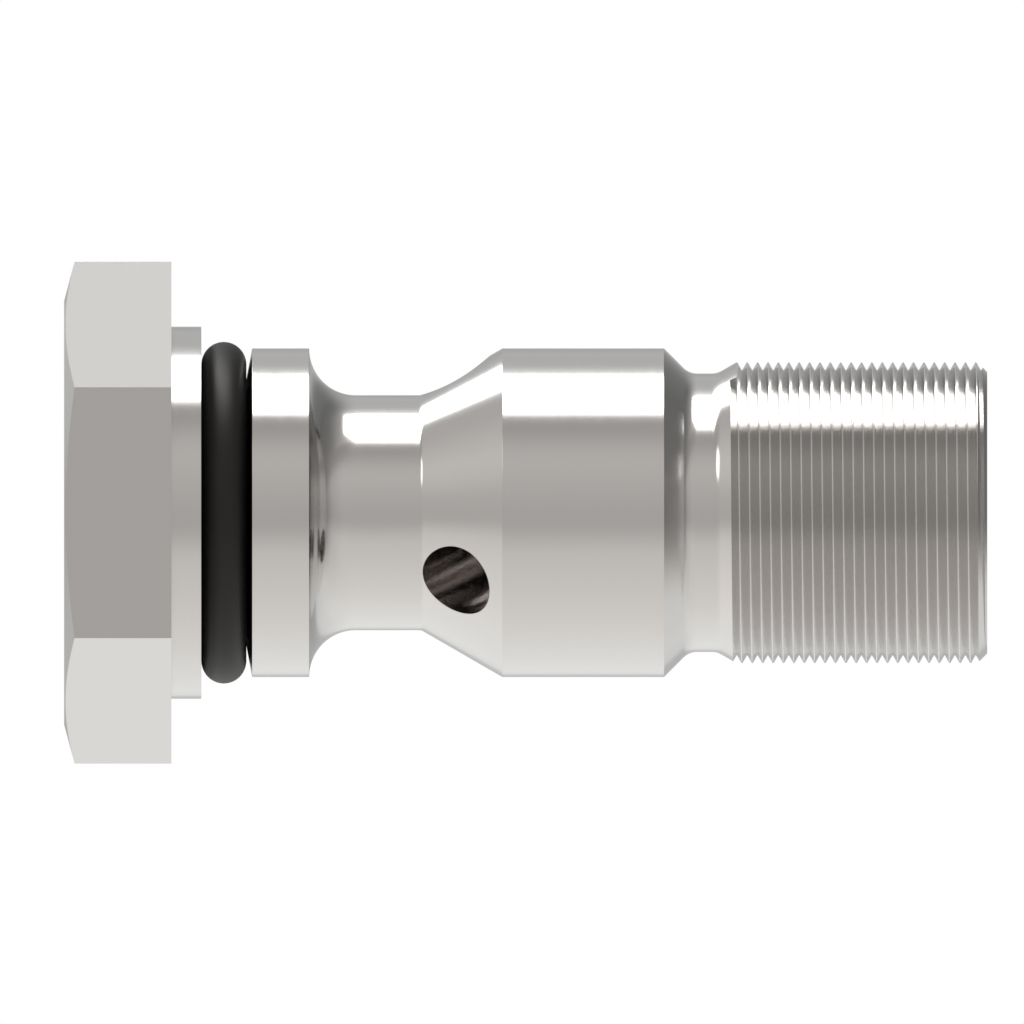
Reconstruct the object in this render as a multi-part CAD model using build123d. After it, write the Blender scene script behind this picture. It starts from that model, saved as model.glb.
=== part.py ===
from build123d import *
import os
from math import cos, radians, sin, tan

# A hollow banjo bolt: a hexagon head, a collar, an O-ring in its groove, a short land, a waisted
# flow section with oblique cross holes, a long sealing land and a fine thread.
# The bolt is one turned piece and the O-ring is the other. Lengths are in millimetres.
# The bolt stands on its head: the origin is the centre of the head's outer face, +Z runs along
# the axis to the threaded tip, and two flats of the hexagon face -Y and +Y.

# Hexagon head
head_sides = 6
across_flats = 32.0
head_height = 7.9
head_face_d = 31.2              # flat circle left on the outer face by the chamfer
head_chamfer_deg = 15.0         # measured from the outer face
head_blank_margin = 0.5         # the round blank's radius beyond the hexagon's corners

# Collar that bears on the fitting
collar_d = 27.4
collar_height = 2.2

# O-ring and its groove
ring_section_d = 3.4
groove_d = 18.3
ring_clearance = 0.03           # ring to groove bottom, and ring to collar
ring_side_play = 0.12           # play along the axis at the middle of the ring
groove_wall_deg = 10.5          # slant of the groove wall on the thread side

# Lands that run in the fitting's bore
land_d = 24.2
short_land_length = 4.2
long_land_length = 11.9

# Waist and cone, where the fluid collects
waist_d = 17.3
waist_length = 4.8              # straight stretch between the round shoulder and the cone
cone_deg = 30.0                 # half angle
cone_blend_r = 1.0

# Undercut behind the thread
relief_d = 20.5
relief_length = 2.05            # between the corners, before they are rounded
relief_chamfer_deg = 45.0
relief_corner_r = 1.4
run_out_deg = 30.0

# Thread, at its major diameter
thread_d = 22.0
thread_length = 18.6            # end chamfer included
tip_chamfer = 0.7

# Cross holes drilled through the cone, leaning back to meet inside
cross_hole_d = 5.5
cross_hole_count = 3
cross_hole_deg = 45.0           # between a hole's axis and the bolt's
cross_hole_rise = 2.57          # centre of a hole's mouth, above the foot of the cone
first_hole_deg = 60.0           # azimuth of the first hole

# Blind flow bore, drilled from the tip
bore_d = 10.0
bore_run_past = 0.6             # full bore beyond the cross holes
drill_point_deg = 118.0
bore_mouth_chamfer = 0.5

# Radii
collar_r = collar_d / 2
land_r = land_d / 2
waist_r = waist_d / 2
groove_r = groove_d / 2
relief_r = relief_d / 2
thread_r = thread_d / 2
bore_r = bore_d / 2
cross_hole_r = cross_hole_d / 2
head_corner_r = across_flats / 2 / cos(radians(180 / head_sides))
ring_centre_r = groove_r + ring_clearance + ring_section_d / 2
shoulder_r = land_r - waist_r   # the shoulder is a full quarter circle

# Heights along the axis, from the head's outer face
collar_z = head_height + collar_height
ring_centre_z = collar_z + ring_clearance + ring_section_d / 2
groove_slope = tan(radians(groove_wall_deg))
groove_middle_z = collar_z + ring_section_d + ring_side_play
groove_end_z = groove_middle_z + (land_r - ring_centre_r) * groove_slope
groove_foot_z = groove_middle_z - (ring_centre_r - groove_r) * groove_slope
short_land_z = groove_end_z + short_land_length
shoulder_z = short_land_z + shoulder_r
cone_z = shoulder_z + waist_length
cone_end_z = cone_z + (land_r - waist_r) / tan(radians(cone_deg))
long_land_z = cone_end_z + long_land_length
relief_z = long_land_z + (land_r - relief_r) / tan(radians(relief_chamfer_deg))
relief_end_z = relief_z + relief_length
thread_z = relief_end_z + (thread_r - relief_r) / tan(radians(run_out_deg))
tip_z = thread_z + thread_length

# Where a cross hole's axis leaves the cone, and where it meets the bolt's axis
mouth_z = cone_z + cross_hole_rise
mouth_r = waist_r + cross_hole_rise * tan(radians(cone_deg))
meeting_z = mouth_z + mouth_r / tan(radians(cross_hole_deg))

# The flow bore runs a little past the lowest edge of the cross holes
bore_reach = bore_r / tan(radians(cross_hole_deg)) + cross_hole_r / sin(radians(cross_hole_deg))
bore_floor_z = meeting_z - bore_reach - bore_run_past


def shank_section():
    """Half section of everything that is turned below the head, in the XZ plane."""
    cone_foot = (waist_r, cone_z)
    relief_start = (relief_r, relief_z)
    relief_end = (relief_r, relief_end_z)
    with BuildSketch(Plane.XZ) as section:
        with BuildLine():
            Polyline(
                (waist_r, shoulder_z),
                cone_foot,
                (land_r, cone_end_z),
                (land_r, long_land_z),
                relief_start,
                relief_end,
                (thread_r, thread_z),
                (thread_r, tip_z - tip_chamfer),
                (thread_r - tip_chamfer, tip_z),
                (0, tip_z),
                (0, head_height),
                (collar_r, head_height),
                (collar_r, collar_z),
                (groove_r, collar_z),
                (groove_r, groove_foot_z),
                (land_r, groove_end_z),
                (land_r, short_land_z),
            )
            CenterArc((land_r, shoulder_z), shoulder_r, start_angle=180, arc_size=90)
        make_face()
        rounded = (
            (cone_foot, cone_blend_r),
            (relief_start, relief_corner_r),
            (relief_end, relief_corner_r),
        )
        for corner, radius in rounded:
            fillet(section.vertices().sort_by_distance(corner)[0], radius)
    return section.sketch


def hexagon_head():
    """Hexagon prism, its outer corners cut back by a shallow turned chamfer."""
    with BuildPart() as head:
        with BuildSketch():
            RegularPolygon(across_flats / 2, head_sides, major_radius=False)
        extrude(amount=head_height)
        blank_r = head_corner_r + head_blank_margin
        chamfer_z = (blank_r - head_face_d / 2) * tan(radians(head_chamfer_deg))
        with BuildSketch(Plane.XZ):
            with BuildLine():
                Polyline(
                    (0, 0),
                    (head_face_d / 2, 0),
                    (blank_r, chamfer_z),
                    (blank_r, head_height),
                    (0, head_height),
                    close=True,
                )
            make_face()
        revolve(axis=Axis.Z, mode=Mode.INTERSECT)
    return head.part


def cross_hole(azimuth):
    """Drill for one cross hole, from the meeting point to a diameter beyond the cone."""
    lean = radians(cross_hole_deg)
    turn = radians(azimuth)
    outward = Vector(sin(lean) * cos(turn), sin(lean) * sin(turn), -cos(lean))
    reach = mouth_r / sin(lean) + cross_hole_d
    start = Plane(origin=(0, 0, meeting_z), z_dir=outward)
    return start * Cylinder(cross_hole_r, reach, align=(Align.CENTER, Align.CENTER, Align.MIN))


def flow_bore():
    """Blind bore from the tip, with a drill point and a small chamfer at its mouth."""
    point_z = bore_floor_z - bore_r / tan(radians(drill_point_deg / 2))
    with BuildSketch(Plane.XZ) as section:
        with BuildLine():
            Polyline(
                (0, point_z),
                (bore_r, bore_floor_z),
                (bore_r, tip_z - bore_mouth_chamfer),
                (bore_r + bore_mouth_chamfer, tip_z),
                (0, tip_z),
                close=True,
            )
        make_face()
    return revolve(section.sketch, Axis.Z)


def hollow_bolt():
    """The turned bolt: head and shank in one solid, bored and cross drilled."""
    bolt = hexagon_head() + revolve(shank_section(), Axis.Z)
    bolt -= flow_bore()
    for index in range(cross_hole_count):
        bolt -= cross_hole(first_hole_deg + index * 360 / cross_hole_count)
    return bolt


def o_ring():
    """Rubber ring, resting in its groove against the collar."""
    return Pos(0, 0, ring_centre_z) * Torus(ring_centre_r, ring_section_d / 2)


os.makedirs("parts", exist_ok=True)
export_step(hollow_bolt(), "parts/hollow_bolt.step")
export_step(o_ring(), "parts/o_ring.step")
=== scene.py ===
from math import acos, ceil, cos, degrees, pi, radians, sin, tan
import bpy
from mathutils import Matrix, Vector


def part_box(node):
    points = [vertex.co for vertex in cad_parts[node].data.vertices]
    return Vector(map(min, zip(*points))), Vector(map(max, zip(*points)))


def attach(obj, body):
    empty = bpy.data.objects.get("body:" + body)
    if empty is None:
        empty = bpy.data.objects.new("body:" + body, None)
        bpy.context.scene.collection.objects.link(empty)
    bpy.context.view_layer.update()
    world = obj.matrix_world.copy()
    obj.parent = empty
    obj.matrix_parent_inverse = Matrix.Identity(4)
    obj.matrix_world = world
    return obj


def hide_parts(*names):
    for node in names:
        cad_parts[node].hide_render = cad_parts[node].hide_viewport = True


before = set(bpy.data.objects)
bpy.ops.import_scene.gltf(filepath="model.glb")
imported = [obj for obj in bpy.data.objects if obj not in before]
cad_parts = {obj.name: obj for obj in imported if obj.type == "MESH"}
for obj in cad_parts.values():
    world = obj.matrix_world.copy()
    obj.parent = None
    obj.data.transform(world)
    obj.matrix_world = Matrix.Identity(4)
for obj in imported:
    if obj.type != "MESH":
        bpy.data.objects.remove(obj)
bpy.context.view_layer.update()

from types import SimpleNamespace

import bmesh
import bpy
import numpy as np
from bpy.props import FloatProperty, FloatVectorProperty, IntProperty, PointerProperty
from mathutils import Matrix, Vector

# A hollow banjo bolt and its O-ring, lit as a product shot. The bolt stands on its head: +Z runs
# along the axis to the threaded tip, and two flats of the hexagon face -Y and +Y.
# The bolt is worked out in millimetres and scaled to metres last, and the ring and the stage are in
# metres. Names end in _d for a diameter, in _r for a radius and in _z for a height on the axis.

bl_info = {
    "name": "Banjo Bolt",
    "version": (1, 0, 0),
    "blender": (4, 5, 0),
    "location": "3D View > Sidebar > Banjo Bolt",
    "description": "Builds a hollow banjo bolt with its fine thread and O-ring, and its studio",
    "category": "Add Mesh",
}

MM = 0.001
BOLT_LOW, BOLT_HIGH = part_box("hollow_bolt")
RING_LOW, RING_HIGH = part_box("o_ring")


def linear(code):
    """The scene-linear colour of an sRGB hex code."""
    channels = [int(code[place:place + 2], 16) / 255 for place in (0, 2, 4)]
    return tuple(c / 12.92 if c <= 0.04045 else ((c + 0.055) / 1.055) ** 2.4 for c in channels)


def length(name, description, millimetres):
    """A length property, whose default is given in millimetres."""
    return FloatProperty(
        name=name,
        description=description,
        default=millimetres * MM,
        min=0,
        subtype="DISTANCE",
        unit="LENGTH",
        precision=5,
    )


def angle(name, description, in_degrees):
    """An angle property, whose default is given in degrees."""
    return FloatProperty(
        name=name,
        description=description,
        default=radians(in_degrees),
        subtype="ANGLE",
        unit="ROTATION",
    )


def colour(name, description, code):
    """A colour property, whose default is given as an sRGB hex code."""
    return FloatVectorProperty(
        name=name,
        description=description,
        default=linear(code),
        size=3,
        min=0,
        max=1,
        subtype="COLOR",
    )


def share(name, description, default):
    """A property between 0 and 1."""
    return FloatProperty(name=name, description=description, default=default, min=0, max=1)


class BoltSizes(bpy.types.PropertyGroup):
    """Sizes of the turned bolt."""

    across_flats: length("Across flats", "Spanner size", (BOLT_HIGH.y - BOLT_LOW.y) / MM)
    total_length: length("Length", "From the head's face to the tip", BOLT_HIGH.z / MM)
    head_height: length("Head height", "Thickness of the hexagon", 7.9)
    head_face_d: length("Head face", "Flat circle left by the head's chamfer", 31.2)
    head_chamfer: angle("Head chamfer", "Measured from the outer face", 15)
    collar_d: length("Collar", "Diameter of the collar that bears on the fitting", 27.4)
    collar_height: length("Collar height", "Thickness of the collar", 2.2)
    groove_d: length("Groove", "Diameter at the bottom of the ring's groove", 18.3)
    groove_foot_z: length("Groove foot", "Height of the groove's bottom at the slanted wall", 13.2994)
    groove_wall: angle("Groove wall", "Slant of the wall on the thread side", 10.5)
    land_d: length("Lands", "Diameter of the two sealing lands", 24.2)
    short_land: length("Short land", "Its length", 4.2)
    waist_d: length("Waist", "Diameter of the waist", 17.3)
    waist_length: length("Waist length", "Between the round shoulder and the cone", 4.8)
    cone: angle("Cone", "Half angle of the cone", 30)
    cone_blend: length("Cone blend", "Radius at the foot of the cone, as its highlight shows", 0.7)
    long_land: length("Long land", "Its length", 11.9)
    relief_d: length("Undercut", "Diameter behind the thread", 20.5)
    relief_length: length("Undercut length", "Between its corners", 2.05)
    relief_corner: length("Undercut corners", "Their radius", 1.4)
    run_out: angle("Run-out", "Slope from the undercut up to the thread", 30)
    tip_chamfer: length("Tip chamfer", "At 45 degrees", 0.7)
    hole_d: length("Cross holes", "Their diameter", 5.5)
    hole_lean: angle("Cross hole lean", "Between a hole's axis and the bolt's", 45)
    hole_rise: length("Cross hole rise", "Centre of the mouth above the cone's foot", 2.57)
    hole_count: IntProperty(name="Cross hole count", description="Holes round the cone", default=3)
    first_hole: angle("First cross hole", "Its azimuth", 60)
    bore_d: length("Flow bore", "Diameter of the blind bore", 10)
    bore_run_past: length("Bore run past", "Full bore beyond the cross holes", 0.6)
    drill_point: angle("Drill point", "Full angle of the bore's end", 118)
    mouth_chamfer: length("Bore mouth", "Chamfer at the mouth", 0.5)
    edge_break: length("Edge break", "Radius left on turned edges", 0.03)


class ThreadSizes(bpy.types.PropertyGroup):
    """Sizes of the fine thread, which is right-handed."""

    major_d: length("Major diameter", "Over the crests, as they show in the photograph", 22.14)
    pitch: length("Pitch", "From crest to crest", 0.765)
    depth: length("Depth", "From crest to root", 0.595)
    start_from_tip: length("First root", "Where the first groove plunges in, from the tip", 18.765)
    start_angle: angle("Start", "Azimuth at which the first groove plunges in", 205.5)


class SteelFinish(bpy.types.PropertyGroup):
    """Colour and polish of the stainless steel."""

    tint: colour("Steel", "Colour of the bare steel", "DEDDDC")
    turned: share("Turned roughness", "Of the turned faces", 0.15)
    threaded: share("Thread roughness", "Of the thread's flanks", 0.14)
    milled: share("Milled roughness", "Of the hexagon's flats", 0.168)
    # The drilled tint is darker than the turned steel's: painted shade inside the bore and cross holes
    drilled_tint_with_painted_shade: colour("Drilled steel, painted shade", "Colour inside the bore and cross holes", "D5D1CF")
    drilled: share("Drilled roughness", "Of the bore and cross holes", 0.2)


class RubberFinish(bpy.types.PropertyGroup):
    """Colour, skin and width of the O-ring."""

    tint: colour("Rubber", "Colour of the carbon-filled rubber", "060606")
    roughness: share("Roughness", "Of the moulded skin", 0.5)
    width: length("Ring width", "Along the axis, squeezed a little against the collar", 3.325)


class StudioSizes(bpy.types.PropertyGroup):
    """Camera framing, floor and lights."""

    view_width: length("View width", "Width of the picture at the bolt", 75.4)
    view_height: length("View centre", "Height of the picture's centre on the bolt", 32.98)
    view_offset: length("View offset", "Axis below the picture's centre", 0.053)
    camera_distance: length("Camera distance", "From the bolt's axis", 400)
    floor_size: length("Floor size", "Width of the floor", 4000)
    floor: colour("Floor", "Colour of the pale floor", "F2F2F2")
    floor_fill: share("Floor fill", "Light added to the floor where the camera looks at it", 0.45)
    softbox: FloatProperty(name="Softbox", description="Brightness of the softbox", default=4.2)
    spot: FloatProperty(name="Spot", description="Brightness of the small light", default=1.9)


def in_millimetres(group):
    """The group's values as plain attributes, with its lengths in millimetres."""
    values = {}
    for key, item in group.bl_rna.properties.items():
        if key not in ("rna_type", "name"):
            value = getattr(group, key)
            values[key] = value / MM if item.unit == "LENGTH" else value
    return SimpleNamespace(**values)


# Shape of the turned bolt

HEX_SIDES = 6
COLUMNS = 240                   # half planes round the axis, so close that all six corners have one
DRILL_SIDES = 96
ARC_STEP = radians(5)           # largest turn between two points of a rounded corner
STRAIGHT = 1e-6                 # a corner that turns less than this, in radians, is none
FLANK = radians(30)             # between a thread flank and the plane across the axis
ANGLE_DIGITS = 4                # points whose azimuths in degrees agree to this decimal,
LENGTH_DIGITS = 6               # and radii and heights to this one, are one point


def work_out(size, thread):
    """Adds to the bolt's sizes the radii and heights that follow from them."""
    size.land_r = size.land_d / 2
    size.waist_r = size.waist_d / 2
    size.groove_r = size.groove_d / 2
    size.relief_r = size.relief_d / 2
    size.collar_r = size.collar_d / 2
    size.bore_r = size.bore_d / 2
    size.hole_r = size.hole_d / 2
    size.thread_r = thread.major_d / 2
    size.root_r = size.thread_r - thread.depth
    size.collar_z = size.head_height + size.collar_height
    size.groove_end_z = size.groove_foot_z + (size.land_r - size.groove_r) * tan(size.groove_wall)
    size.short_land_z = size.groove_end_z + size.short_land
    size.shoulder_z = size.short_land_z + size.land_r - size.waist_r
    size.cone_z = size.shoulder_z + size.waist_length
    size.cone_end_z = size.cone_z + (size.land_r - size.waist_r) / tan(size.cone)
    size.long_land_z = size.cone_end_z + size.long_land
    size.relief_z = size.long_land_z + size.land_r - size.relief_r
    size.relief_end_z = size.relief_z + size.relief_length
    size.thread_z = size.relief_end_z + (size.thread_r - size.relief_r) / tan(size.run_out)
    size.tip_z = size.total_length
    mouth_r = size.waist_r + size.hole_rise * tan(size.cone)
    size.meeting_z = size.cone_z + size.hole_rise + mouth_r / tan(size.hole_lean)
    size.hole_reach = mouth_r / sin(size.hole_lean) + size.hole_d
    bore_reach = size.bore_r / tan(size.hole_lean) + size.hole_r / sin(size.hole_lean)
    size.bore_floor_z = size.meeting_z - bore_reach - size.bore_run_past
    size.point_z = size.bore_floor_z - size.bore_r / tan(size.drill_point / 2)
    holes = range(size.hole_count)
    size.hole_turns = [size.first_hole + 2 * pi * index / size.hole_count for index in holes]
    return size


def rounded(corners):
    """Points of a line whose (radius, height, rounding) corners are rounded by arcs."""
    points = [corners[0][:2]]
    for before, corner, after in zip(corners, corners[1:], corners[2:]):
        here = Vector(corner[:2])
        rounding = corner[2]
        back = (Vector(before[:2]) - here).normalized()
        ahead = (Vector(after[:2]) - here).normalized()
        turn = pi - acos(max(-1.0, min(1.0, back.dot(ahead))))
        if rounding == 0 or turn < STRAIGHT:
            points.append(tuple(here))
            continue
        tangent = rounding * tan(turn / 2)
        centre = here + (back + ahead).normalized() * rounding / cos(turn / 2)
        first = here + back * tangent - centre
        last = here + ahead * tangent - centre
        steps = ceil(turn / ARC_STEP)
        for step in range(steps + 1):
            part = step / steps
            arm = first * sin((1 - part) * turn) + last * sin(part * turn)
            points.append(tuple(centre + arm / sin(turn)))
    points.append(corners[-1][:2])
    return points


def lower_profile(size):
    """(radius, height) points from the collar up to the run-out, as they are turned."""
    edge = size.edge_break
    long_land_edge = 2 * edge
    corners = (
        (size.collar_r, size.head_height, 0),
        (size.collar_r, size.collar_z, edge),
        (size.groove_r, size.collar_z, 0),
        (size.groove_r, size.groove_foot_z, 0),
        (size.land_r, size.groove_end_z, edge),
        (size.land_r, size.short_land_z, edge),
        (size.waist_r, size.short_land_z, size.land_r - size.waist_r - edge),
        (size.waist_r, size.cone_z, size.cone_blend),
        (size.land_r, size.cone_end_z, long_land_edge),
        (size.land_r, size.long_land_z, long_land_edge),
        (size.relief_r, size.relief_z, size.relief_corner),
        (size.relief_r, size.relief_end_z, size.relief_corner),
        (size.thread_r, size.thread_z, 0),
    )
    return rounded(corners)[:-1]


def upper_profile(size):
    """(radius, height) points from the tip's chamfer over the end face and down the bore."""
    tip_edge = size.edge_break / 2
    corners = (
        (size.thread_r, size.tip_z - size.tip_chamfer, 0),
        (size.thread_r - size.tip_chamfer, size.tip_z, tip_edge),
        (size.bore_r + size.mouth_chamfer, size.tip_z, tip_edge),
        (size.bore_r, size.tip_z - size.mouth_chamfer, 0),
        (size.bore_r, size.bore_floor_z, 0),
        (0, size.point_z, 0),
    )
    return rounded(corners)[1:]


def flank_edge(blank, root, slope, side):
    """Where a thread flank that rises from the root, up (1) or down (-1) the axis, meets the blank."""
    root_r, root_z = root
    for (low_r, low_z), (high_r, high_z) in zip(blank, blank[1:]):
        lean = (high_r - low_r) / (high_z - low_z)
        depth = low_r - root_r + lean * (root_z - low_z)
        edge_z = root_z + depth / (side * slope - lean)
        if low_z <= edge_z <= high_z and (edge_z - root_z) * side >= 0:
            return (root_r + slope * abs(edge_z - root_z), edge_z)
    return None


def thread_points(blank, turned, size, thread):
    """Labelled points of one column through the thread, a share of a turn past its start."""
    slope = 1 / tan(FLANK)
    first_root = size.tip_z - thread.start_from_tip
    corners = [("run-out top", blank[1]), ("chamfer foot", blank[2])]
    points = []
    groove = 0
    while True:
        root = (size.root_r, first_root + thread.pitch * (turned + groove))
        low = flank_edge(blank, root, slope, -1)
        high = flank_edge(blank, root, slope, 1)
        if low is None or high is None:
            break
        points += [(("low edge", groove), low), (("root", groove), root), (("high edge", groove), high)]
        corners = [item for item in corners if not low[1] < item[1][1] < high[1]]
        groove += 1
    return sorted(points + corners, key=lambda item: item[1][1])


def hexagon_reach(azimuth, apothem):
    """Distance from the axis to the hexagon's outline."""
    sector = 2 * pi / HEX_SIDES
    return apothem / cos(azimuth % sector - sector / 2)


class RoundMesh:
    """Points and faces of a round piece that is built column by column."""

    def __init__(self):
        self.points = []
        self.faces = []
        self.known = {}

    def column(self, azimuth, labelled):
        """Adds one column's (label, (radius, height)) points, and returns (label, index) pairs."""
        found = []
        for label, (radius, height) in labelled:
            turn = 0 if radius == 0 else round(degrees(azimuth) % 360, ANGLE_DIGITS)
            key = (turn, round(radius, LENGTH_DIGITS), round(height, LENGTH_DIGITS))
            if key not in self.known:
                self.known[key] = len(self.points)
                self.points.append((radius * cos(azimuth), radius * sin(azimuth), height))
            found.append((label, self.known[key]))
        return found

    def face(self, *corners):
        """Adds a face, less the corners that coincide."""
        distinct = list(dict.fromkeys(corners))
        if len(distinct) > 2:
            self.faces.append(distinct)

    def join(self, left, right):
        """Closes the strip between two neighbouring columns, label by label."""
        left_names = {label for label, index in left}
        right_names = {label for label, index in right}
        at_left = at_right = 0
        while at_left + 1 < len(left) or at_right + 1 < len(right):
            left_name, next_left = left[at_left + 1] if at_left + 1 < len(left) else (None, None)
            right_name, next_right = right[at_right + 1] if at_right + 1 < len(right) else (None, None)
            here = (left[at_left][1], right[at_right][1])
            if left_name == right_name:
                self.face(*here, next_right, next_left)
                at_left += 1
                at_right += 1
            elif right_name is not None and right_name not in left_names:
                self.face(*here, next_right)
                at_right += 1
            elif left_name is not None and left_name not in right_names:
                self.face(*here, next_left)
                at_left += 1
            else:
                raise RuntimeError(f"columns out of order at {left_name} and {right_name}")


def bolt_columns(size, thread):
    """The whole bolt without its cross holes, as a RoundMesh in millimetres."""
    lower = lower_profile(size)
    upper = upper_profile(size)
    thread_foot = (size.thread_r, size.thread_z)
    thread_end = (size.thread_r, size.tip_z - size.tip_chamfer)
    blank = [lower[-1], thread_foot, thread_end, upper[0]]
    lower_points = [(("below", place), point) for place, point in enumerate(lower)]
    upper_points = [(("above", place), point) for place, point in enumerate(upper)]
    face_r = size.head_face_d / 2
    mesh = RoundMesh()

    def whole_column(azimuth, through_thread):
        reach = hexagon_reach(azimuth, size.across_flats / 2)
        head = [
            ("centre", (0, 0)),
            ("face", (face_r, 0)),
            ("crown", (reach, (reach - face_r) * tan(size.head_chamfer))),
            ("skirt", (reach, size.head_height)),
        ]
        return mesh.column(azimuth, head + lower_points + through_thread + upper_points)

    first = None
    previous = None
    for place in range(COLUMNS + 1):
        turned = place / COLUMNS
        azimuth = thread.start_angle + 2 * pi * turned
        points = thread_points(blank, turned, size, thread)
        if place == 0:
            plunge = points[:3]
        if place == COLUMNS:
            # The first groove plunges in at its full depth, so its end face closes the last strip.
            rim = [(("plunge", 0), plunge[0][1]), (("plunge", 1), plunge[2][1])]
            points = sorted(points + rim, key=lambda item: item[1][1])
        column = whole_column(azimuth, points)
        if previous is not None:
            mesh.join(previous, column)
        previous = column
        first = first or column
    start = dict(first)
    end = dict(previous)
    indices = [index for label, index in previous]
    mouth = indices[indices.index(end["plunge", 0]):indices.index(end["plunge", 1]) + 1]
    mesh.face(start["root", 0], *reversed(mouth))
    return mesh


def new_object(name, points, faces):
    """A mesh object of its own."""
    mesh = bpy.data.meshes.new(name)
    mesh.from_pydata(points, [], faces)
    mesh.validate()
    piece = bpy.data.objects.new(name, mesh)
    bpy.context.scene.collection.objects.link(piece)
    return piece


def hole_axis(size, turn):
    """Direction of a cross hole, outward and back towards the head."""
    outward = sin(size.hole_lean)
    return Vector((outward * cos(turn), outward * sin(turn), -cos(size.hole_lean)))


def cut_cross_holes(bolt, size):
    """Drills the cross holes out of the bolt's mesh."""
    drills = []
    for index, turn in enumerate(size.hole_turns):
        shape = bmesh.new()
        bmesh.ops.create_cone(
            shape,
            cap_ends=True,
            segments=DRILL_SIDES,
            radius1=size.hole_r,
            radius2=size.hole_r,
            depth=size.hole_reach,
        )
        axis = hole_axis(size, turn)
        place = Vector((0, 0, size.meeting_z)) + axis * size.hole_reach / 2
        turned = axis.to_track_quat("Z", "Y").to_matrix().to_4x4()
        bmesh.ops.transform(shape, matrix=Matrix.Translation(place) @ turned, verts=shape.verts)
        mesh = bpy.data.meshes.new("drill")
        shape.to_mesh(mesh)
        shape.free()
        drill = bpy.data.objects.new(f"drill_{index}", mesh)
        bpy.context.scene.collection.objects.link(drill)
        cut = bolt.modifiers.new(f"cross hole {index}", "BOOLEAN")
        cut.operation = "DIFFERENCE"
        cut.solver = "MANIFOLD"
        cut.object = drill
        drills.append(drill)
    graph = bpy.context.evaluated_depsgraph_get()
    solid = bpy.data.meshes.new_from_object(bolt.evaluated_get(graph))
    bolt.modifiers.clear()
    bolt.data = solid
    for drill in drills:
        bpy.data.meshes.remove(drill.data)


# Which surface each face belongs to, in the order of the bolt's materials

TURNED, MILLED, THREADED, DRILLED = range(4)

ON_FACE = 1e-3                  # mm within which a face lies on a plane or inside the crests
OFF_WALL = 0.02                 # mm by which a facet's centre may miss the round wall it is on
UPRIGHT = 1e-4                  # axial share of the normal that an upright face stays below
LIKE_FLANK = 0.02               # axial share by which a normal may miss that of a flank
ALONG_HOLE = 1e-2               # share of a wall's normal that may lie along its hole
ON_AXIS = 1e-6                  # mm within which a point is on the axis
SMOOTH_LIMIT = cos(radians(8))  # normals that differ by a smaller angle are blended


def read(items, name, width, kind=np.float64):
    """One property of every item of a mesh, as an array."""
    values = np.empty(len(items) * width, kind)
    items.foreach_get(name, values)
    return values.reshape(-1, width) if width > 1 else values


def off_axis(places, size, axis):
    """The part across a cross hole's axis of each way from the holes' meeting point."""
    way = places - np.array((0, 0, size.meeting_z))
    return way - np.outer(way @ axis, axis)


def sort_faces(centres, normals, size):
    """The finish of every face, and each cross hole's (axis, which faces are its wall)."""
    finish = np.full(len(centres), TURNED)
    radii = np.hypot(centres[:, 0], centres[:, 1])
    heights = centres[:, 2]
    level = np.abs(normals[:, 2])

    in_thread = (radii > size.thread_r - size.tip_chamfer) & (radii < size.thread_r - ON_FACE)
    in_thread &= heights > size.relief_end_z
    finish[in_thread & (np.abs(level - cos(FLANK)) < LIKE_FLANK)] = THREADED
    finish[(radii < size.bore_r + OFF_WALL) & (heights > size.point_z)] = DRILLED
    on_flat = np.abs((centres * normals).sum(1) - size.across_flats / 2) < ON_FACE
    finish[on_flat & (level < UPRIGHT) & (heights < size.head_height)] = MILLED

    walls = []
    for turn in size.hole_turns:
        axis = np.array(hole_axis(size, turn))
        reach = np.linalg.norm(off_axis(centres, size, axis), axis=1)
        wall = (np.abs(reach - size.hole_r) < OFF_WALL) & (np.abs(normals @ axis) < ALONG_HOLE)
        wall &= heights < size.meeting_z
        finish[wall] = DRILLED
        walls.append((axis, wall))
    return finish, walls


def blended(normals, corners, weights):
    """Each corner's normal, averaged with those at the same point that are near it."""
    order = np.argsort(corners, kind="stable")
    grouped = corners[order]
    starts = np.searchsorted(grouped, grouped, side="left")
    counts = np.searchsorted(grouped, grouped, side="right") - starts
    position = np.arange(len(order)) - starts
    ranked = normals[order]
    weights = weights[order][:, None]
    total = ranked * weights
    for step in range(1, counts.max()):
        other = starts + (position + step) % counts
        near = (step < counts) & ((ranked * ranked[other]).sum(1) > SMOOTH_LIMIT)
        total += np.where(near[:, None], ranked[other] * weights[other], 0)
    total /= np.linalg.norm(total, axis=1)[:, None]
    smooth = np.empty_like(total)
    smooth[order] = total
    return smooth


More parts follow.
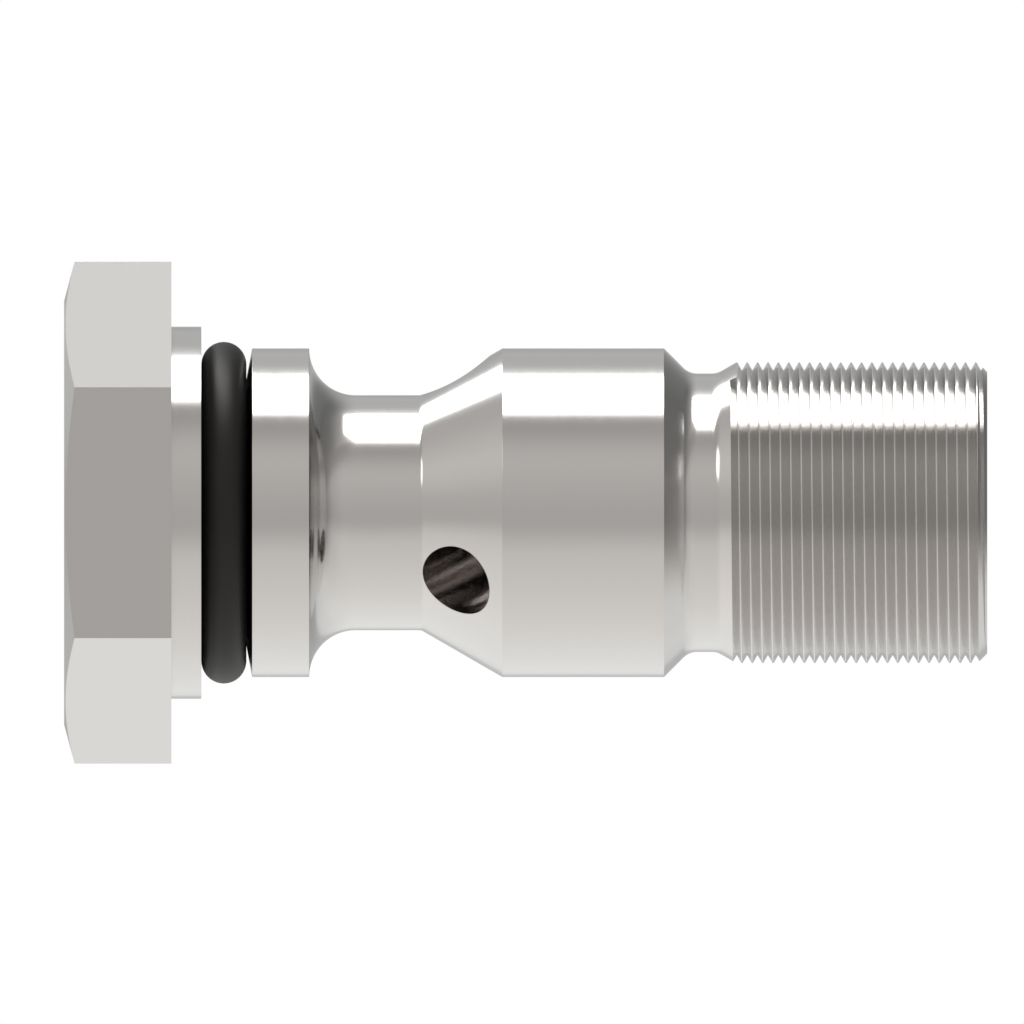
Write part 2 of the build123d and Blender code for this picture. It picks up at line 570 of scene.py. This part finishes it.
def dress_bolt(mesh, size):
    """Sorts the faces by finish, and gives every corner the normal of the true surface."""
    centres = read(mesh.polygons, "center", 3)
    normals = read(mesh.polygons, "normal", 3)
    areas = read(mesh.polygons, "area", 1)
    totals = read(mesh.polygons, "loop_total", 1, np.int32)
    corners = read(mesh.loops, "vertex_index", 1, np.int32)
    points = read(mesh.vertices, "co", 3)[corners]
    owner = np.repeat(np.arange(len(totals)), totals)
    finish, walls = sort_faces(centres, normals, size)

    # A turned face's normal is swung round the axis to each of its corners
    swing = np.arctan2(points[:, 1], points[:, 0]) - np.arctan2(centres[:, 1], centres[:, 0])[owner]
    swing[(np.hypot(points[:, 0], points[:, 1]) < ON_AXIS) | (finish == MILLED)[owner]] = 0
    x, y, z = normals[owner].T
    swung_x = x * np.cos(swing) - y * np.sin(swing)
    swung_y = x * np.sin(swing) + y * np.cos(swing)
    exact = np.stack((swung_x, swung_y, z), axis=1)

    # A cross hole's wall looks straight at the hole's axis
    for axis, wall in walls:
        facing = wall[owner]
        inward = -off_axis(points[facing], size, axis)
        exact[facing] = inward / np.linalg.norm(inward, axis=1)[:, None]

    mesh.polygons.foreach_set("material_index", finish.astype(np.int32))
    mesh.polygons.foreach_set("use_smooth", np.ones(len(finish), bool))
    mesh.normals_split_custom_set(blended(exact, corners, areas[owner]))


# Materials

SMOOTH = {"interpolation_type": "SMOOTHSTEP"}   # for a Map Range node with soft ends
NOISE_SPAN = (0.3, 0.7)                         # nearly all of a noise texture lies between these
ROUND_SHARE = 0.02                              # change of the marks round the axis, against along it
GLANCING = (0.95, 0.95, 0.95, 1)                # at a glancing angle the steel is not a full mirror
RUBBER_GRAIN = 1 / 9                            # mm between the grains of the moulded skin
RUBBER_RELIEF = 0.002                           # mm of their height


def add_node(tree, kind, settings=None, inputs=None):
    """Adds a node, sets its attributes, and sets or links its inputs, by name or place.

    An input that is given a node is linked to that node's first output.
    """
    node = tree.nodes.new(kind)
    for name, value in (settings or {}).items():
        setattr(node, name, value)
    for name, value in (inputs or {}).items():
        if isinstance(value, bpy.types.Node):
            value = value.outputs[0]
        if isinstance(value, bpy.types.NodeSocket):
            tree.links.new(value, node.inputs[name])
        else:
            node.inputs[name].default_value = value
    return node


def between(value, start, end):
    """Inputs that bring a Map Range node from 0 to 1 while the value goes from start to end."""
    return {"Value": value, "From Min": start, "From Max": end}


def new_material(name):
    """An empty node material, and its tree."""
    material = bpy.data.materials.new(name)
    material.use_nodes = True
    material.node_tree.nodes.clear()
    return material, material.node_tree


def turned_coordinates(tree):
    """A vector that changes along and across the axis, but hardly round it, in millimetres."""
    place = add_node(tree, "ShaderNodeTexCoord").outputs["Object"]
    x, y, z = add_node(tree, "ShaderNodeSeparateXYZ", inputs={"Vector": place}).outputs
    flat = add_node(tree, "ShaderNodeCombineXYZ", inputs={"X": x, "Y": y})
    radius = add_node(tree, "ShaderNodeVectorMath", {"operation": "LENGTH"}, {0: flat}).outputs["Value"]
    drift = add_node(tree, "ShaderNodeMath", {"operation": "MULTIPLY"}, {0: x, 1: ROUND_SHARE})
    rings = add_node(tree, "ShaderNodeCombineXYZ", inputs={"X": radius, "Y": drift, "Z": z})
    return add_node(tree, "ShaderNodeVectorMath", {"operation": "SCALE"}, {0: rings, "Scale": 1 / MM})


def plain_coordinates(tree):
    """The object's own coordinates in millimetres."""
    place = add_node(tree, "ShaderNodeTexCoord").outputs["Object"]
    return add_node(tree, "ShaderNodeVectorMath", {"operation": "SCALE"}, {0: place, "Scale": 1 / MM})


def steel(name, tint, roughness, coordinates, mark_width, spread, depth):
    """Bare stainless steel with tool marks, whose width and depth are in millimetres.

    The marks change the roughness by the spread, up and down.
    """
    material, tree = new_material(name)
    marks = add_node(
        tree,
        "ShaderNodeTexNoise",
        inputs={
            "Vector": coordinates(tree),
            "Scale": 1 / mark_width,
            "Detail": 3.0,
            "Roughness": 0.6,
        },
    )
    polish = add_node(
        tree,
        "ShaderNodeMapRange",
        inputs={
            **between(marks, *NOISE_SPAN),
            "To Min": roughness - spread,
            "To Max": roughness + spread,
        },
    )
    bump = add_node(
        tree, "ShaderNodeBump", inputs={"Strength": 1.0, "Distance": depth * MM, "Height": marks}
    )
    shader = add_node(
        tree,
        "ShaderNodeBsdfPrincipled",
        inputs={
            "Base Color": (*tint, 1),
            "Metallic": 1.0,
            "Specular Tint": GLANCING,
            "Roughness": polish,
            "Normal": bump,
        },
    )
    add_node(tree, "ShaderNodeOutputMaterial", inputs={"Surface": shader})
    return material


# The real marks of all four finishes are some hundredths of a millimetre apart, too fine to show
# in the render, and are drawn as coarse as they need to be.

def turned_steel(finish):
    """Fine turning leaves an even grey mirror, dulled by faint marks round the axis."""
    return steel(
        "turned stainless steel",
        finish.tint,
        finish.turned,
        turned_coordinates,
        mark_width=1 / 6,
        spread=0.015,
        depth=0.0002,
    )


def milled_steel(finish):
    """Milling leaves the flats even, and a little softer than the turned faces."""
    return steel(
        "milled stainless steel",
        finish.tint,
        finish.milled,
        plain_coordinates,
        mark_width=1 / 4,
        spread=0.01,
        depth=0.0002,
    )


def threaded_steel(finish):
    """Single-point cutting leaves bright flanks that mirror each other."""
    return steel(
        "threaded stainless steel",
        finish.tint,
        finish.threaded,
        turned_coordinates,
        mark_width=1 / 8,
        spread=0.015,
        depth=0.0002,
    )


def drilled_steel_with_painted_shade(finish):
    """Drilling leaves a duller, rougher wall with deeper marks. Its darker tint is painted shade inside
    the bore and cross holes.
    """
    return steel(
        "drilled stainless steel with painted shade",
        finish.drilled_tint_with_painted_shade,
        finish.drilled,
        turned_coordinates,
        mark_width=1 / 5,
        spread=0.03,
        depth=0.0005,
    )


def nitrile_rubber(finish):
    """Moulded nitrile rubber: near black from its carbon filler, with a satin skin."""
    material, tree = new_material("moulded nitrile rubber")
    grain = add_node(
        tree,
        "ShaderNodeTexNoise",
        inputs={"Vector": plain_coordinates(tree), "Scale": 1 / RUBBER_GRAIN, "Detail": 4.0},
    )
    bump = add_node(
        tree,
        "ShaderNodeBump",
        inputs={"Strength": 1.0, "Distance": RUBBER_RELIEF * MM, "Height": grain},
    )
    shader = add_node(
        tree,
        "ShaderNodeBsdfPrincipled",
        inputs={
            "Base Color": (*finish.tint, 1),
            "Roughness": finish.roughness,
            "IOR": 1.52,
            "Normal": bump,
        },
    )
    add_node(tree, "ShaderNodeOutputMaterial", inputs={"Surface": shader})
    return material


def settings():
    """The sizes and colours that the panel shows."""
    return bpy.context.scene.banjo_bolt


class MakeBolt(bpy.types.Operator):
    """Builds the turned bolt with its hexagon, holes and thread"""

    bl_idname = "banjo_bolt.make_bolt"
    bl_label = "Hollow bolt"

    def execute(self, context):
        thread = in_millimetres(settings().thread)
        size = work_out(in_millimetres(settings().bolt), thread)
        shape = bolt_columns(size, thread)
        bolt = new_object("turned_bolt", shape.points, shape.faces)
        cut_cross_holes(bolt, size)
        bolt.data.materials.clear()
        for finish in (turned_steel, milled_steel, threaded_steel, drilled_steel_with_painted_shade):
            bolt.data.materials.append(finish(settings().steel))
        dress_bolt(bolt.data, size)
        bolt.data.transform(Matrix.Scale(MM, 4))
        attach(bolt, "root")
        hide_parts("hollow_bolt")
        return {"FINISHED"}


RING_TURNS = 192                # points round the ring
SECTION_TURNS = 48              # and round its section


class MakeRing(bpy.types.Operator):
    """Builds the rubber O-ring in its groove"""

    bl_idname = "banjo_bolt.make_ring"
    bl_label = "O-ring"

    def execute(self, context):
        section_r = (RING_HIGH.z - RING_LOW.z) / 2
        centre_r = RING_HIGH.x - section_r
        bolt = settings().bolt
        half_width = settings().rubber.width / 2
        centre_z = bolt.head_height + bolt.collar_height + half_width
        points = []
        faces = []
        for turn in range(RING_TURNS):
            azimuth = 2 * pi * turn / RING_TURNS
            here = turn * SECTION_TURNS
            beside = (turn + 1) % RING_TURNS * SECTION_TURNS
            for place in range(SECTION_TURNS):
                lean = 2 * pi * place / SECTION_TURNS
                radius = centre_r + section_r * cos(lean)
                height = centre_z + half_width * sin(lean)
                points.append((radius * cos(azimuth), radius * sin(azimuth), height))
                above = (place + 1) % SECTION_TURNS
                faces.append((here + place, beside + place, beside + above, here + above))
        ring = new_object("rubber_ring", points, faces)
        ring.data.shade_smooth()
        ring.data.materials.append(nitrile_rubber(settings().rubber))
        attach(ring, "root")
        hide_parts("o_ring")
        return {"FINISHED"}


# Studio. An azimuth here turns about the bolt's axis, from the camera (0) towards the picture's
# top (90 degrees, which is -X) and on to the back. A rise is how far a direction points along the
# axis, from -1 straight past the head to 1 straight past the tip.

# Brightness round the bolt at the height of the lens: (azimuth in degrees, brightness)
SURROUND = (
    (-180, 0.444),
    (-178.5, 0.485),
    (-176.5, 0.56),
    (-167, 0.62),
    (-161, 0.69),
    (-158, 0.92),
    (-146, 1.00),
    (-130, 0.975),
    (-110, 0.92),
    (-90, 0.837),
    (-60, 0.748),
    (-40, 0.694),
    (-28, 0.66),
    (-10, 0.48),
    (-2, 0.475),
    (34, 0.563),
    (44, 0.544),
    (62, 0.394),
    (110, 0.47),
    (128, 0.565),
    (140, 0.56),
    (150, 0.565),
    (166, 0.445),
    (176.5, 0.60),
    (178.5, 0.485),
    (180, 0.444),
)

# How much darker it gets towards the tip: (azimuth in degrees, share taken away)
SHADE = (
    (-180, 0.36),
    (-155, 0.18),
    (-140, 0.16),
    (-125, 0.08),
    (-100, 0.05),
    (-60, 0.04),
    (-30, 0.0),
    (50, 0.0),
    (90, 0.45),
    (115, 0.60),
    (135, 0.70),
    (155, 0.62),
    (180, 0.36),
)
SHADE_SPAN = (-0.05, 0.51)      # rises between which the shade sets in

# Light that comes up past the head: (azimuth in degrees, brightness added)
UPLIGHT = (
    (-180, 0.05),
    (-45, 0.05),
    (0, 0.02),
    (20, 0.0),
    (35, 0.035),
    (48, 0.12),
    (60, 0.25),
    (76, 0.18),
    (95, 0.08),
    (180, 0.05),
)
UPLIGHT_SPAN = (-0.4, -0.8)     # rises between which the uplight sets in

TIP_FALL = 0.83                 # brightness of the sides close to the tip's direction, as a share
TIP_FALL_SPAN = (0.45, 1.0)     # rises between which the sides fall to it
TIP_DARK = 0.178                # brightness straight beyond the tip
TIP_DARK_SPAN = (0.8, 1.0)      # rises between which it takes over,
TIP_DARK_BEND = 2.5             # and how late it does so

# The softbox and its glow lie in a plane over the bolt. A place there is (across, along, head
# side): across is towards the camera, along is towards the tip, and head side is along where that
# is negative, else 0. A place lies inside an edge where its dot product with the slope, plus the
# offset, is positive, and the light fades over the softness: (slope, offset, softness)
NEAR_EDGE = ((-1, 0, 0), 0.279, 0.06)
FAR_EDGE = ((1, 0, -1.15), 0.42, 0.04)
HEAD_EDGE = ((-0.8, 1, 0), 0.395, 0.05)
TIP_EDGE = ((0.187, -1, 0), 0.39, 0.04)
CUT_CORNER = ((-1.5, -1, 0), 0.457, 0.05)
GLOW_FAR_EDGE = ((1, 0, -1.15), 0.60, 0.18)
GLOW_TIP_EDGE = ((0.187, -1, 0), 0.49, 0.7)
GLOW = 0.32                     # brightness that the softbox's glow adds round it
OVERHEAD_SPAN = (0.05, 0.15)    # how far a direction points to -X where the plane begins
LEAST_OVERHEAD = 0.02           # keeps the plane's places finite

# The small light is a disc whose two ends along the bolt are cut off
SPOT_AZIMUTH = radians(46)
SPOT_ELEVATION = radians(-34)
SPOT_RADIUS = radians(12)
SPOT_SOFTNESS = 0.008
SPOT_SPAN = (0.16, 0.10)        # rise from its centre between which its ends set in

FRONT_TINT = (1.040, 1.0, 0.968, 1)     # light from the camera's side is a little warm,
BACK_TINT = (1.0, 1.0, 0.985, 1)        # and from behind the bolt nearly neutral
BACK_SPAN = (0.0, -0.5)                 # how far a direction points to -Y where they change over


def surroundings(tree, turn_share, rise):
    """Brightness of the grey surroundings, from the azimuth as a share of a turn and the rise."""
    ramps = []
    for stops in (SURROUND, SHADE, UPLIGHT):
        ramp = add_node(tree, "ShaderNodeValToRGB", inputs={"Fac": turn_share})
        elements = ramp.color_ramp.elements
        while len(elements) < len(stops):
            elements.new(0.5)
        for element, (azimuth, level) in zip(elements, stops):
            element.position = (azimuth + 180) / 360
            element.color = (level, level, level, 1)
        ramps.append(ramp)
    around, shade, uplight = ramps

    fall = add_node(
        tree,
        "ShaderNodeMapRange",
        SMOOTH,
        {**between(rise, *TIP_FALL_SPAN), "To Min": 1.0, "To Max": TIP_FALL},
    )
    lit = add_node(tree, "ShaderNodeMath", {"operation": "MULTIPLY"}, {0: around, 1: fall})
    tipward = add_node(tree, "ShaderNodeMapRange", SMOOTH, between(rise, *SHADE_SPAN))
    taken = add_node(tree, "ShaderNodeMath", {"operation": "MULTIPLY"}, {0: shade, 1: tipward})
    side = add_node(tree, "ShaderNodeMix", {"data_type": "FLOAT"}, {"Factor": taken, "A": lit, "B": 0.0})

    beyond = add_node(tree, "ShaderNodeMapRange", inputs=between(rise, *TIP_DARK_SPAN))
    late = add_node(tree, "ShaderNodeMath", {"operation": "POWER"}, {0: beyond, 1: TIP_DARK_BEND})
    level = add_node(
        tree, "ShaderNodeMix", {"data_type": "FLOAT"}, {"Factor": late, "A": side, "B": TIP_DARK}
    )
    headward = add_node(tree, "ShaderNodeMapRange", SMOOTH, between(rise, *UPLIGHT_SPAN))
    return add_node(
        tree, "ShaderNodeMath", {"operation": "MULTIPLY_ADD"}, {0: uplight, 1: headward, 2: level}
    )


def within(tree, overhead, place, edges):
    """1 where a place on the plane over the bolt lies inside all edges, and 0 outside."""
    inside = overhead
    for slope, offset, softness in edges:
        reach = add_node(
            tree, "ShaderNodeVectorMath", {"operation": "DOT_PRODUCT"}, {0: place, 1: slope}
        ).outputs["Value"]
        edge = add_node(
            tree, "ShaderNodeMapRange", SMOOTH, between(reach, -offset - softness, -offset + softness)
        )
        inside = add_node(tree, "ShaderNodeMath", {"operation": "MULTIPLY"}, {0: inside, 1: edge})
    return inside


def small_light(tree, ray, rise):
    """1 where a direction meets the small light, and 0 elsewhere."""
    level = cos(SPOT_ELEVATION)
    way = (-level * sin(SPOT_AZIMUTH), -level * cos(SPOT_AZIMUTH), sin(SPOT_ELEVATION))
    towards = add_node(
        tree, "ShaderNodeVectorMath", {"operation": "DOT_PRODUCT"}, {0: ray, 1: way}
    ).outputs["Value"]
    rim = cos(SPOT_RADIUS)
    disc = add_node(
        tree, "ShaderNodeMapRange", SMOOTH, between(towards, rim - SPOT_SOFTNESS, rim + SPOT_SOFTNESS)
    )
    off = add_node(tree, "ShaderNodeMath", {"operation": "SUBTRACT"}, {0: rise, 1: way[2]})
    away = add_node(tree, "ShaderNodeMath", {"operation": "ABSOLUTE"}, {0: off})
    ends = add_node(tree, "ShaderNodeMapRange", SMOOTH, between(away, *SPOT_SPAN))
    return add_node(tree, "ShaderNodeMath", {"operation": "MULTIPLY"}, {0: disc, 1: ends})


def light_studio(world, studio):
    """A wide softbox over the bolt, a small light, and grey surroundings that darken to the tip."""
    world.use_nodes = True
    tree = world.node_tree
    tree.nodes.clear()
    ray = add_node(tree, "ShaderNodeTexCoord").outputs["Generated"]
    flipped = add_node(tree, "ShaderNodeVectorMath", {"operation": "MULTIPLY"}, {0: ray, 1: (-1, -1, 1)})
    above, front, rise = add_node(tree, "ShaderNodeSeparateXYZ", inputs={"Vector": flipped}).outputs
    azimuth = add_node(tree, "ShaderNodeMath", {"operation": "ARCTAN2"}, {0: above, 1: front})
    turn_share = add_node(tree, "ShaderNodeMapRange", inputs=between(azimuth, -pi, pi))

    steep = add_node(tree, "ShaderNodeMath", {"operation": "MAXIMUM"}, {0: above, 1: LEAST_OVERHEAD})
    across = add_node(tree, "ShaderNodeMath", {"operation": "DIVIDE"}, {0: front, 1: steep})
    along = add_node(tree, "ShaderNodeMath", {"operation": "DIVIDE"}, {0: rise, 1: steep})
    head_side = add_node(tree, "ShaderNodeMath", {"operation": "MINIMUM"}, {0: along, 1: 0.0})
    place = add_node(tree, "ShaderNodeCombineXYZ", inputs={"X": across, "Y": along, "Z": head_side})
    overhead = add_node(tree, "ShaderNodeMapRange", SMOOTH, between(above, *OVERHEAD_SPAN))
    glow = within(tree, overhead, place, (NEAR_EDGE, GLOW_FAR_EDGE, HEAD_EDGE, GLOW_TIP_EDGE))
    softbox = within(tree, overhead, place, (NEAR_EDGE, FAR_EDGE, HEAD_EDGE, TIP_EDGE, CUT_CORNER))

    level = surroundings(tree, turn_share, rise)
    level = add_node(
        tree, "ShaderNodeMath", {"operation": "MULTIPLY_ADD"}, {0: glow, 1: GLOW, 2: level}
    )
    lamps = ((softbox, studio.softbox), (small_light(tree, ray, rise), studio.spot))
    for shape, brightness in lamps:
        level = add_node(
            tree, "ShaderNodeMix", {"data_type": "FLOAT"}, {"Factor": shape, "A": level, "B": brightness}
        )
    behind = add_node(tree, "ShaderNodeMapRange", inputs=between(front, *BACK_SPAN))
    # Inputs 6 and 7 and output 2 are the colours of a Mix node
    tint = add_node(
        tree, "ShaderNodeMix", {"data_type": "RGBA"}, {"Factor": behind, 6: FRONT_TINT, 7: BACK_TINT}
    ).outputs[2]
    light = add_node(tree, "ShaderNodeBackground", inputs={"Color": tint, "Strength": level})

    # The camera itself sees white
    white = add_node(tree, "ShaderNodeBackground", inputs={"Color": (1, 1, 1, 1), "Strength": 1.0})
    seen = add_node(tree, "ShaderNodeLightPath").outputs["Is Camera Ray"]
    mixed = add_node(tree, "ShaderNodeMixShader", inputs={0: seen, 1: light, 2: white})
    add_node(tree, "ShaderNodeOutputWorld", inputs={"Surface": mixed})


def matt_board(studio):
    """Pale matt board: it keeps the bolt's shadow, and reflections look through it."""
    material, tree = new_material("pale matt board")
    ray = add_node(tree, "ShaderNodeLightPath").outputs
    matt = add_node(tree, "ShaderNodeBsdfDiffuse", inputs={"Color": (*studio.floor, 1)})
    fill = add_node(
        tree, "ShaderNodeEmission", inputs={"Color": (1, 1, 1, 1), "Strength": studio.floor_fill}
    )
    lifted = add_node(tree, "ShaderNodeAddShader", inputs={0: matt, 1: fill})
    looked_at = add_node(
        tree, "ShaderNodeMixShader", inputs={0: ray["Is Camera Ray"], 1: matt, 2: lifted}
    )
    clear = add_node(tree, "ShaderNodeBsdfTransparent")
    mixed = add_node(
        tree, "ShaderNodeMixShader", inputs={0: ray["Is Glossy Ray"], 1: looked_at, 2: clear}
    )
    add_node(tree, "ShaderNodeOutputMaterial", inputs={"Surface": mixed})
    return material


class MakeStage(bpy.types.Operator):
    """Builds the floor, the lights and the camera"""

    bl_idname = "banjo_bolt.make_stage"
    bl_label = "Stage"

    def execute(self, context):
        studio = settings().studio
        half = studio.floor_size / 2
        corners = [(-half, -half, 0), (half, -half, 0), (half, half, 0), (-half, half, 0)]
        floor = new_object("floor", corners, [(0, 1, 2, 3)])
        floor.data.materials.append(matt_board(studio))

        scene = context.scene
        scene.world = scene.world or bpy.data.worlds.new("Studio")
        light_studio(scene.world, studio)
        scene.view_settings.view_transform = "Standard"

        # Side view: the tip points to the picture's right, and -X is its top
        lens = bpy.data.cameras.new("camera")
        lens.type = "ORTHO"
        lens.ortho_scale = studio.view_width
        lens.clip_start = MM
        camera = bpy.data.objects.new("camera", lens)
        turned = Matrix(((0, -1, 0), (0, 0, -1), (1, 0, 0))).to_4x4()
        place = Matrix.Translation((-studio.view_offset, -studio.camera_distance, studio.view_height))
        camera.matrix_world = place @ turned
        scene.collection.objects.link(camera)
        scene.camera = camera
        return {"FINISHED"}


class BanjoBoltSettings(bpy.types.PropertyGroup):
    """Everything that a user can set."""

    bolt: PointerProperty(type=BoltSizes)
    thread: PointerProperty(type=ThreadSizes)
    steel: PointerProperty(type=SteelFinish)
    rubber: PointerProperty(type=RubberFinish)
    studio: PointerProperty(type=StudioSizes)


class BanjoBoltPanel(bpy.types.Panel):
    """Lists the settings and the pieces"""

    bl_idname = "VIEW3D_PT_banjo_bolt"
    bl_label = "Banjo Bolt"
    bl_space_type = "VIEW_3D"
    bl_region_type = "UI"
    bl_category = "Banjo Bolt"

    def draw(self, context):
        groups = context.scene.banjo_bolt
        for title in ("bolt", "thread", "steel", "rubber", "studio"):
            box = self.layout.box()
            box.label(text=title.capitalize())
            group = getattr(groups, title)
            for key in group.__annotations__:
                box.prop(group, key)
        for operator in (MakeBolt, MakeRing, MakeStage):
            self.layout.operator(operator.bl_idname)


CLASSES = (
    BoltSizes,
    ThreadSizes,
    SteelFinish,
    RubberFinish,
    StudioSizes,
    BanjoBoltSettings,
    MakeBolt,
    MakeRing,
    MakeStage,
    BanjoBoltPanel,
)


def register():
    for item in CLASSES:
        bpy.utils.register_class(item)
    bpy.types.Scene.banjo_bolt = PointerProperty(type=BanjoBoltSettings)


def unregister():
    del bpy.types.Scene.banjo_bolt
    for item in reversed(CLASSES):
        bpy.utils.unregister_class(item)


def main():
    register()
    bpy.ops.banjo_bolt.make_bolt()
    bpy.ops.banjo_bolt.make_ring()
    bpy.ops.banjo_bolt.make_stage()


if __name__ == "__main__":
    main()
